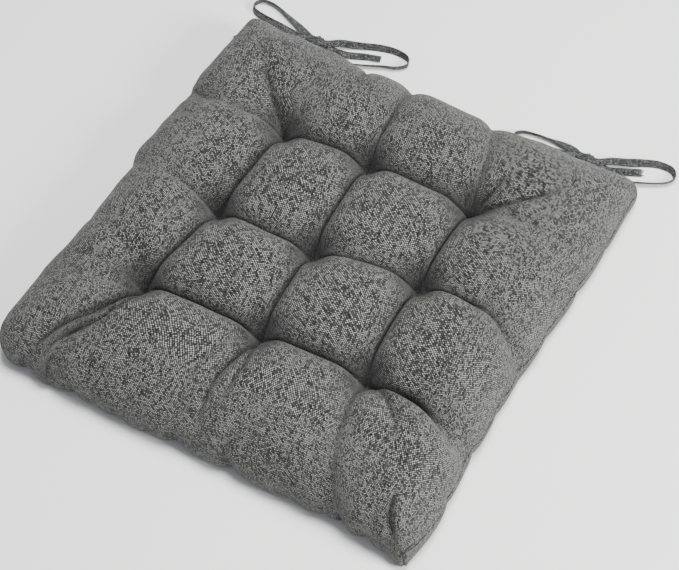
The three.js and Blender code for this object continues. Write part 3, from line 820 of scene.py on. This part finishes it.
# under each point it stays below the lowest cloth near by, so it never shows in a crease
zt = pos[tp.top][:, :, 2]
low_near = zt.copy()
for dj in range(-7, 8):
    for di in range(-7, 8):
        low_near = np.minimum(low_near, np.roll(np.pad(zt, 7, mode="edge"), (dj, di), (0, 1))[7:-7, 7:-7])
topc = pos[tp.top].copy()
topc[:, :, 2] = low_near - 4.5
zb = pos[tp.bot][:, :, 2]
high_near = zb.copy()
for dj in range(-3, 4):
    for di in range(-3, 4):
        high_near = np.maximum(high_near, np.roll(np.pad(zb, 4, mode="edge"), (dj, di), (0, 1))[4:-4, 4:-4])
botc = pos[tp.bot].copy()
botc[:, :, 2] = high_near + 2.0
fpos[half.bot.ravel()] = botc[::2, ::2].reshape(-1, 3)
for i, r in enumerate(rows_pick):
    fpos[half.side[i]] = pos[tp.side[r][::2]]
fpos[half.top.ravel()] = topc[::2, ::2].reshape(-1, 3)
# drawn in from the sides only, so that it stays under its own cloth at the tufts
fpos[:, :2] *= 1 - 8.0 / HALF * smooth((np.abs(fpos[:, :2]).max(1, keepdims=True) / HALF - 0.78) / 0.22)
for i in range(len(rows_pick)):
    f = i / (len(rows_pick) - 1.0)
    fpos[half.side[i], 2] = fpos[half.side[0], 2] * (1 - f) + fpos[half.side[-1], 2] * f
filling = add_mesh("fibre_filling_mass", fpos / 1000.0, half.quad, fibre_mat)
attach(filling, "pad")
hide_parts("fibre_filling")


# ------------------------------------------------------------------ threads
def frames(path, up=(0, 0, 1)):
    path = np.asarray(path, float)
    t = np.gradient(path, axis=0)
    t /= np.linalg.norm(t, axis=1, keepdims=True) + 1e-12
    up = np.asarray(up, float)
    w = np.cross(up, t)
    bad = np.linalg.norm(w, axis=1) < 1e-3
    w[bad] = np.cross((1.0, 0, 0), t[bad])
    w /= np.linalg.norm(w, axis=1, keepdims=True)
    for i in range(1, len(w)):
        if w[i] @ w[i - 1] < 0 and bad.any():
            w[i] = -w[i]
    n = np.cross(t, w)
    return t, w, n


def tube(path, radius, sides=8, flat=1.0):
    """Closed tube with round ends along a path in mm. Returns verts and faces."""
    path = np.asarray(path, float)
    t, w, n = frames(path)
    rad = np.broadcast_to(np.asarray(radius, float), (len(path),)).copy()
    ang = np.arange(sides) * 2 * math.pi / sides
    v = [path[0] - t[0] * rad[0] * 0.6]
    for i in range(len(path)):
        v.extend(path[i] + rad[i] * (np.cos(a) * w[i] + flat * np.sin(a) * n[i]) for a in ang)
    v.append(path[-1] + t[-1] * rad[-1] * 0.6)
    f = []
    for i in range(len(path) - 1):
        for k in range(sides):
            a, b = 1 + i * sides + k, 1 + i * sides + (k + 1) % sides
            f.append((a, b, b + sides, a + sides))
    for k in range(sides):
        f.append((0, 1 + (k + 1) % sides, 1 + k))
        e = 1 + (len(path) - 1) * sides
        f.append((len(v) - 1, e + k, e + (k + 1) % sides))
    return np.array(v), f


def join_parts(parts):
    v, f, base = [], [], 0
    for vv, ff in parts:
        v.append(vv)
        f.extend(tuple(i + base for i in q) for q in ff)
        base += len(vv)
    return np.vstack(v), f


def along(path, step):
    path = np.asarray(path, float)
    d = np.concatenate([[0], np.cumsum(np.linalg.norm(np.diff(path, axis=0), axis=1))])
    s = np.arange(0, d[-1], step)
    return np.stack([np.interp(s, d, path[:, k]) for k in range(3)], 1), d[-1]


def stitches(path, outward, pitch=3.4, gap=0.9, radius=0.32, sink=0.35):
    """Lock stitches lying in a seam. outward points away from the cloth."""
    path = np.asarray(path, float)
    outward = np.asarray(outward, float)
    d = np.concatenate([[0], np.cumsum(np.linalg.norm(np.diff(path, axis=0), axis=1))])
    parts = []
    s = 1.0
    while s + pitch - gap < d[-1]:
        q = np.linspace(s, s + pitch - gap, 5)
        pts = np.stack([np.interp(q, d, path[:, k]) for k in range(3)], 1)
        on = np.stack([np.interp(q, d, outward[:, k]) for k in range(3)], 1)
        dip = np.array([-0.55, 0.0, 0.12, 0.0, -0.55]) + radius - sink
        parts.append(tube(pts + on * dip[:, None], radius, 6))
        s += pitch
    return join_parts(parts)


cover_n = vertex_normals(pos, tp.quad)
ring_ids = tp.side[SEAM_ROW, np.arange(4 * N)]
parts = []
for w in range(4):
    ids = ring_ids[np.arange(w * N + 3, (w + 1) * N - 2)]
    parts.append(stitches(pos[ids], np.c_[-inward[np.arange(w * N + 3, (w + 1) * N - 2)], np.zeros(N - 5)]))
seam = add_mesh("perimeter_seam_stitches", *[x / 1000.0 if i == 0 else x for i, x in enumerate(join_parts(parts))], thread_mat)
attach(seam, "pad")
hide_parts("perimeter_seam_thread")
for c, tag in enumerate(("front_left", "front_right", "back_right", "back_left")):
    ids = tp.side[:, c * N]
    path = pos[ids]
    outv = np.tile(np.r_[np.sign(path[5, :2]) / math.sqrt(2), 0], (len(path), 1))
    v, f = stitches(path[:ROWS - 1], outv[:ROWS - 1], pitch=3.6, radius=0.34)
    ob = add_mesh("corner_stitches_" + tag, v / 1000.0, f, thread_mat)
    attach(ob, "pad")
    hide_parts("corner_stitching_" + tag)

ROWN, COLN = ("front", "middle", "back"), ("left", "centre", "right")
for j in range(3):
    for i in range(3):
        p_top = pos[tp.top[BAY * (j + 1), BAY * (i + 1)]]
        p_low = pos[tp.bot[BAY * (j + 1), BAY * (i + 1)]]
        rng = np.random.default_rng(40 + 3 * j + i)
        turn = rng.uniform(0, math.pi)
        parts = []
        # two crossed strands that bite into the cloth, each of two twisted plies
        for k in range(2):
            a = turn + k * (math.pi / 2 + rng.uniform(-0.25, 0.25))
            s = np.linspace(-1, 1, 15)
            mid = np.stack([p_top[0] + 3.3 * s * math.cos(a), p_top[1] + 3.3 * s * math.sin(a),
                            p_top[2] + 1.5 + 0.5 * k - 1.4 * s ** 4 + 0.7 * s ** 2], 1)
            for ply in range(2):
                tw = s * 7 + ply * math.pi
                side = np.array([-math.sin(a), math.cos(a), 0])
                parts.append(tube(mid + 0.33 * (np.cos(tw)[:, None] * side + np.sin(tw)[:, None] * np.array([0, 0, 1.0])), 0.42, 7))
        # the strands that run down through the filling
        for ply in range(2):
            s = np.linspace(0, 1, 25)
            tw = s * 20 + ply * math.pi
            base = p_low + np.array([0, 0, 0.2]) + (p_top + np.array([0, 0, 0.9]) - p_low)[None] * s[:, None]
            parts.append(tube(base + 0.4 * np.stack([np.cos(tw), np.sin(tw), 0 * tw], 1), 0.45, 6))
        # the knot and its two short ends below
        s = np.linspace(0, 2 * math.pi, 22)
        parts.append(tube(np.stack([p_low[0] + 1.3 * np.cos(s), p_low[1] + 1.3 * np.sin(s), p_low[2] - 1.0 + 0.35 * np.sin(2 * s)], 1), 0.62, 7))
        for k in (-1, 1):
            s = np.linspace(0, 1, 8)
            parts.append(tube(np.stack([p_low[0] + k * (0.6 + 5.2 * s), p_low[1] + 1.6 * k * s * s, p_low[2] - 1.2 - 1.6 * s], 1), 0.45, 6))
        v, f = join_parts(parts)
        v[:, 2] = np.maximum(v[:, 2], 0.15)
        ob = add_mesh(f"tuft_thread_{ROWN[j]}_{COLN[i]}", v / 1000.0, f, tuft_mat)
        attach(ob, "pad")
        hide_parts(f"tuft_tack_{ROWN[j]}_{COLN[i]}")

# ------------------------------------------------------------------ ties and their bows
TAPE_W, TAPE_T = 8.0, 1.5
F = 1.1


def catmull(ctrl, step=2.2):
    """Centripetal Catmull-Rom through ctrl (x, y, z, tilt), resampled evenly."""
    c = np.asarray(ctrl, float)
    c = np.vstack([2 * c[0] - c[1], c, 2 * c[-1] - c[-2]])
    pts = []
    for i in range(1, len(c) - 2):
        p0, p1, p2, p3 = c[i - 1], c[i], c[i + 1], c[i + 2]
        t = [0.0]
        for a, b in ((p0, p1), (p1, p2), (p2, p3)):
            t.append(t[-1] + max(np.linalg.norm(b[:3] - a[:3]), 1e-3) ** 0.5)
        for s in np.linspace(t[1], t[2], 13)[:-1]:
            a1 = (t[1] - s) / (t[1] - t[0]) * p0 + (s - t[0]) / (t[1] - t[0]) * p1
            a2 = (t[2] - s) / (t[2] - t[1]) * p1 + (s - t[1]) / (t[2] - t[1]) * p2
            a3 = (t[3] - s) / (t[3] - t[2]) * p2 + (s - t[2]) / (t[3] - t[2]) * p3
            b1 = (t[2] - s) / (t[2] - t[0]) * a1 + (s - t[0]) / (t[2] - t[0]) * a2
            b2 = (t[3] - s) / (t[3] - t[1]) * a2 + (s - t[1]) / (t[3] - t[1]) * a3
            pts.append((t[2] - s) / (t[2] - t[1]) * b1 + (s - t[1]) / (t[2] - t[1]) * b2)
    pts.append(c[-2])
    pts = np.array(pts)
    d = np.concatenate([[0], np.cumsum(np.linalg.norm(np.diff(pts[:, :3], axis=0), axis=1))])
    n = int(round(d[-1] / step))
    s = np.linspace(0, d[-1], n + 1)
    return np.stack([np.interp(s, d, pts[:, k]) for k in range(4)], 1), d[-1]


def tape(name, ctrl, seed, frayed=False):
    """A folded and stitched tape: flat at the knot and the tails, on edge round the loops."""
    line, _ = catmull(ctrl)
    xyz, tilt = line[:, :3].copy(), np.radians(line[:, 3])
    # it is held up by its own edge where it stands, and never sinks in the floor
    need = TAPE_W / 2 * np.abs(np.sin(tilt)) + TAPE_T / 2 * np.abs(np.cos(tilt)) + 0.12
    rng = np.random.default_rng(seed)
    s = np.linspace(0, 1, len(xyz))
    xyz[:, 2] = np.maximum(xyz[:, 2], need)
    t = np.gradient(xyz, axis=0)
    t /= np.linalg.norm(t, axis=1, keepdims=True)
    w = np.cross((0, 0, 1.0), t)
    w /= np.linalg.norm(w, axis=1, keepdims=True) + 1e-9
    n = np.cross(t, w)
    wob = 0.10 * np.sin(s * 46 + rng.uniform(0, 6)) + 0.07 * np.sin(s * 91 + rng.uniform(0, 6))
    ww = np.cos(tilt)[:, None] * w + np.sin(tilt)[:, None] * n
    nn = np.cos(tilt)[:, None] * n - np.sin(tilt)[:, None] * w
    # cross-section: a soft folded tube with a stitched edge
    k = 20
    a = np.arange(k) * 2 * math.pi / k
    cx = np.sign(np.cos(a)) * np.abs(np.cos(a)) ** 0.55 * TAPE_W / 2
    cy = np.sign(np.sin(a)) * np.abs(np.sin(a)) ** 0.75 * TAPE_T / 2
    cy = cy * (1 - 0.42 * np.exp(-((cx - 2.7) / 0.5) ** 2)) * (1 + 0.12 * np.cos(cx / 4 * math.pi))
    verts, uv_ring = [], []
    per = np.concatenate([[0], np.cumsum(np.hypot(np.diff(np.r_[cx, cx[0]]), np.diff(np.r_[cy, cy[0]])))]) / 1000.0
    m = len(xyz)
    width = 1 + 0.03 * np.sin(s * 37 + 1.3) + 0.02 * np.sin(s * 83)
    squeeze = np.ones(m)
    for i in range(m):
        verts.extend(xyz[i] + cx[j] * width[i] * squeeze[i] * ww[i] + (cy[j] + wob[i] * (1 - (cx[j] / 4) ** 2) * 0.6) * nn[i] for j in range(k))
    arc = np.concatenate([[0], np.cumsum(np.linalg.norm(np.diff(xyz, axis=0), axis=1))]) / 1000.0
    faces, uv = [], []
    for i in range(m - 1):
        for j in range(k):
            j2 = (j + 1) % k
            faces.append((i * k + j, i * k + j2, (i + 1) * k + j2, (i + 1) * k + j))
            uv.append([(0.1 + per[j], 0.1 + arc[i]), (0.1 + per[j + 1], 0.1 + arc[i]), (0.1 + per[j + 1], 0.1 + arc[i + 1]), (0.1 + per[j], 0.1 + arc[i + 1])])
    verts = list(verts)
    flat_uv = [c for q in uv for c in q]
    for end, i in ((0, 0), (1, m - 1)):
        c = len(verts)
        verts.append(xyz[i])
        for j in range(k):
            j2 = (j + 1) % k
            tri = (c, i * k + j2, i * k + j) if end == 0 else (c, i * k + j, i * k + j2)
            faces.append(tri)
            flat_uv += [(0.1, 0.1), (0.1 + per[j + 1], 0.1), (0.1 + per[j], 0.1)]
    verts = np.array(verts)
    # single stitches along the sewn edge, and loose yarns at a frayed end
    parts = [(verts, faces)]
    extra = []
    on = np.interp(np.linspace(0, arc[-1] * 1000, 400), arc * 1000, np.arange(m))
    at = 6.0
    while at + 2.2 < arc[-1] * 1000 - 3:
        q = np.interp(np.linspace(at, at + 1.9, 4), arc * 1000, np.arange(m))
        lo = np.floor(q).astype(int)
        lo = np.minimum(lo, m - 2)
        fr = (q - lo)[:, None]
        cen = xyz[lo] * (1 - fr) + xyz[lo + 1] * fr
        wv = ww[lo] * (1 - fr) + ww[lo + 1] * fr
        nv = nn[lo] * (1 - fr) + nn[lo + 1] * fr
        for side in (1, -1):
            lift = np.array([0.34, 0.58, 0.58, 0.34])[:, None] * side
            extra.append(tube(cen + wv * 2.75 + nv * lift, 0.17, 5))
        at += 2.7
    if frayed:
        for q in range(16):
            off = rng.uniform(-3.7, 3.7)
            ln = rng.uniform(0.9, 2.8)
            z = np.linspace(0, 1, 5)[:, None]
            bend = rng.uniform(-0.6, 0.6)
            pts = xyz[-1] + ww[-1] * (off + bend * z ** 2) + t[-1] * ln * z + nn[-1] * rng.uniform(-0.4, 0.4)
            pts[:, 2] = np.maximum(pts[:, 2], 0.2)
            extra.append(tube(pts, 0.16, 5))
    nf = len(faces)
    ev, ef = join_parts(extra)
    allv, allf = join_parts([(verts, faces), (ev, ef)])
    for f in ef:
        flat_uv += [(0.1, 0.1)] * len(f)
    ob = add_mesh(name, allv / 1000.0, allf, tie_mat, uv=flat_uv)
    ob.data.materials.append(thread_mat)
    idx = np.zeros(len(allf), np.int32)
    idx[nf:] = 1
    if frayed:
        idx[-16 * (len(tube(np.zeros((5, 3)) + np.arange(5)[:, None], 0.1, 5)[1])):] = 0
    ob.data.polygons.foreach_set("material_index", idx)
    return ob, xyz


def through(kx, ky, s, z):
    return [(kx - 8 * s, ky, z, 0), (kx - 4 * s, ky, z, 0), (kx, ky, z, 0), (kx + 4 * s, ky, z, 0), (kx + 8 * s, ky, z, 0)]


def rel(kx, ky, *pts):
    return [(kx + x, ky + y, z, 0) for x, y, z in pts]


def tilted(pts, tilts):
    return [(*p, t) for p, t in zip(pts, tilts)]


BOWS = {
    "left": dict(
        k=(-155, 239),
        rightFar=tilted([(-133, 247.5, 6.4), (-118, 254, 4.4), (-94, 263, 3.8), (-75, 266, 3.8)], (20, 50, 68, 72)),
        rightTip=tilted([(-62, 263, 3.8), (-59, 256, 3.8), (-66, 248.5, 3.8)], (76, 78, 74)),
        rightNear=tilted([(-81, 243, 3.8), (-98, 236, 3.8), (-116, 230, 3.4), (-133, 229.5, 2.2)], (66, 56, 40, 12)),
        rightTail=tilted([(-133, 238.5, 2.9), (-118, 241.5, 1.6), (-102, 248, F), (-88, 252.5, F)], (0, 14, 10, 0)),
        leftFar=tilted([(-177, 246, 4.6), (-189, 251, 4.2), (-202, 256, 3.8), (-214, 260, 3.8), (-226, 261.5, 3.8)], (12, 30, 50, 64, 70)),
        leftTip=tilted([(-236, 259, 3.8), (-240, 251.5, 3.8), (-236, 245, 3.8)], (74, 76, 72)),
        leftNear=tilted([(-224, 241.5, 3.8), (-206, 240, 3.6), (-190, 238.5, 3.2), (-177, 238, 3.0)], (62, 46, 24, 6)),
        leftTail=tilted([(-176, 230.5, F), (-190, 228, F), (-205, 227, F), (-219, 223.5, F), (-229, 216, F), (-234.5, 205, F)], (0, 0, 6, 10, 6, 0)),
    ),
    "right": dict(
        k=(154, 237),
        rightFar=tilted([(176, 245.5, 6.4), (190, 253, 4.4), (206, 261, 3.8), (218, 265, 3.8)], (16, 40, 58, 62)),
        rightTip=tilted([(231, 264.5, 3.8), (237, 257, 3.8), (232.5, 249, 3.8)], (66, 72, 66)),
        rightNear=tilted([(222, 243, 3.8), (208, 236.5, 3.8), (192, 230, 3.2), (176, 227.5, 2.0)], (54, 48, 34, 10)),
        rightTail=tilted([(176, 236.5, 2.9), (188, 240.5, 2.2), (197, 245, 1.8), (206, 250, F)], (6, 34, 28, 12)),
        leftFar=tilted([(132, 242.5, 4.6), (120, 243.5, 4.2), (106, 242.5, 3.8), (94, 240.5, 3.8)], (10, 36, 60, 70)),
        leftTip=tilted([(83, 237.5, 3.8), (77.5, 231.5, 3.8), (82, 225.5, 3.8)], (76, 78, 74)),
        leftNear=tilted([(92, 225, 3.8), (104, 228, 3.6), (118, 231.5, 3.2), (132, 233.8, 3.0)], (60, 44, 22, 6)),
        leftTail=tilted([(133, 226.2, F), (124, 222.5, F), (113, 221.5, F)], (0, 0, 0)),
    ),
}
A_OUT, B_OUT, B_BACK, A_BACK = 7.6, 5.8, 4.0, 2.2
for side, b in BOWS.items():
    kx, ky = b["k"]
    strap_a = [(kx - 13, 214.2, 22, 0), (kx - 13, 217.6, 22, 0), (kx - 13, 220.6, 21.9, 0), (kx - 14.5, 224.6, 19, 0), (kx - 17, 229.1, 14, 0)]
    strap_a += rel(kx, ky, (-17, -5.5, 9.6), (-13.5, -1.2, 8.0)) + through(kx, ky, 1, A_OUT) + rel(kx, ky, (14, 2.5, 7.6))
    strap_a += b["rightFar"] + b["rightTip"] + b["rightNear"] + rel(kx, ky, (14, -4.6, 1.5)) + through(kx, ky, -1, A_BACK)
    strap_a += rel(kx, ky, (-14, -4.2, 1.5)) + b["leftTail"]
    strap_b = [(kx + 13, 214.2, 22, 0), (kx + 13, 217.6, 22, 0), (kx + 13, 220.6, 21.9, 0), (kx + 15, 224.6, 18, 0), (kx + 17.5, 228.1, 12, 0)]
    strap_b += rel(kx, ky, (17.5, -6, 6.6), (13.5, -1.4, 5.8)) + through(kx, ky, -1, B_OUT) + rel(kx, ky, (-14, 3, 5.5))
    strap_b += b["leftFar"] + b["leftTip"] + b["leftNear"] + rel(kx, ky, (-14, 0, 3.8)) + through(kx, ky, 1, B_BACK)
    strap_b += rel(kx, ky, (14, 0, 3.8)) + b["rightTail"]
    names = {"a": "outer" if side == "left" else "inner", "b": "inner" if side == "left" else "outer"}
    body = "bow_" + side
    # the wrap round the middle: cloth turned once and a half round the passes
    nu, nv = 28, 40
    verts, faces, uvs = [], [], []
    for i in range(nu + 1):
        s = i / nu * 2 - 1
        for j in range(nv):
            a = j / nv * 2 * math.pi
            swell = 1 - 0.30 * abs(s) ** 3.0
            fold = 0.38 * math.cos(s * 7.5 + 1.1 * math.sin(a) + 0.5) + 0.16 * math.sin(3 * a + s * 5 + (1 if side == "left" else 2.2))
            ry = (6.6 + fold) * swell
            rz = (4.95 + 0.8 * fold) * swell
            cy_, cz_ = math.cos(a), math.sin(a)
            verts.append((kx + 5.4 * s + 0.7 * math.sin(a + 0.6), ky + ry * math.copysign(abs(cy_) ** 0.85, cy_), max(4.95 + rz * math.copysign(abs(cz_) ** 0.85, cz_), 0.1)))
    for i in range(nu):
        for j in range(nv):
            j2 = (j + 1) % nv
            faces.append((i * nv + j, i * nv + j2, (i + 1) * nv + j2, (i + 1) * nv + j))
            u0, u1, v0, v1 = 0.1 + j / nv * 0.035, 0.1 + (j + 1) / nv * 0.035, 0.1 + i / nu * 0.011, 0.1 + (i + 1) / nu * 0.011
            uvs += [(u0, v0), (u1, v0), (u1, v1), (u0, v1)]
    for end, i in ((0, 0), (1, nu)):
        c = len(verts)
        x_in = kx + (-4.6 if end == 0 else 4.6)
        verts.append((x_in, ky, 5.0))
        for j in range(nv):
            j2 = (j + 1) % nv
            faces.append((c, i * nv + j2, i * nv + j) if end == 0 else (c, i * nv + j, i * nv + j2))
            uvs += [(0.1, 0.1)] * 3
    knot = add_mesh("bow_wrap_" + side, np.array(verts) / 1000.0, faces, tie_mat, uv=uvs)
    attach(knot, body)
    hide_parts("bow_knot_" + side)
    for which, ctrl in (("a", strap_a), ("b", strap_b)):
        tag = names[which]
        ob, path = tape(f"tie_tape_{side}_{tag}", ctrl, 11 + len(tag) + (side == "left"), frayed=(side == "right" and which == "b"))
        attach(ob, body)
        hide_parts(f"tie_{side}_{tag}")
        # bar tack: a dense zigzag over the tie's root
        bx = kx + (-13 if which == "a" else 13)
        n = 19
        zx = np.linspace(-4.3, 4.3, n)
        zig = np.stack([bx + zx, 216.15 + 0 * zx, 22 + 1.45 * np.where(np.arange(n) % 2, 1, -1)], 1)
        fine = along(zig, 0.35)[0]
        core = along(np.array([(bx - 4.4, 215.9, 22.0), (bx + 4.4, 215.9, 22.0)]), 0.8)[0]
        # a whipped roll on the hinge line keeps the root joined to the pad while the bow swings
        roll = along(np.array([(bx - 4.3, 217.3, 21.8), (bx + 4.3, 217.3, 21.8)]), 0.8)[0]
        v, f = join_parts([tube(fine, 0.2, 6), tube(core, 0.45, 6), tube(roll, 1.9, 12)])
        bar = add_mesh(f"bar_tack_{side}_{tag}", v / 1000.0, f, thread_mat)
        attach(bar, "pad")
        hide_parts(f"tie_bar_tack_{side}_{tag}")

# ------------------------------------------------------------------ floor and light
floor_nodes = Nodes("pale_floor")
fc = floor_nodes.objcoord()
fn_ = floor_nodes.noise(fc, 3.0, 3.0)
floor_nodes.put(floor_nodes.bsdf.inputs["Base Color"], floor_nodes.ramp(fn_, ((0.3, (0.86, 0.86, 0.86)), (0.7, (0.88, 0.88, 0.88)))))
floor_nodes.bsdf.inputs["Roughness"].default_value = 0.9
floor_nodes.bsdf.inputs["Specular IOR Level"].default_value = 0.1
floor = add_mesh("floor", [(-6, -6, -0.0004), (6, -6, -0.0004), (6, 6, -0.0004), (-6, 6, -0.0004)], [(0, 1, 2, 3)], floor_nodes.mat, smooth_shade=False)

world = bpy.data.worlds.new("studio")
bpy.context.scene.world = world
world.use_nodes = True
world.node_tree.nodes["Background"].inputs[0].default_value = (0.93, 0.96, 1.0, 1)
world.node_tree.nodes["Background"].inputs[1].default_value = 0.42


def area(name, at, look, size, power, colour=(1, 1, 1)):
    d = bpy.data.lights.new(name, "AREA")
    d.shape = "DISK"
    d.size = size
    d.energy = power
    d.color = colour
    o = bpy.data.objects.new(name, d)
    bpy.context.scene.collection.objects.link(o)
    o.location = at
    o.rotation_euler = (Vector(look) - Vector(at)).to_track_quat("-Z", "Y").to_euler()
    return o


area("key", (1.9, 0.05, 1.15), (0, 0, 0.02), 0.8, 73, (1.0, 0.985, 0.955))
area("top", (0.3, 0.3, 2.4), (0, 0, 0), 0.9, 94, (1.0, 1.0, 0.985))
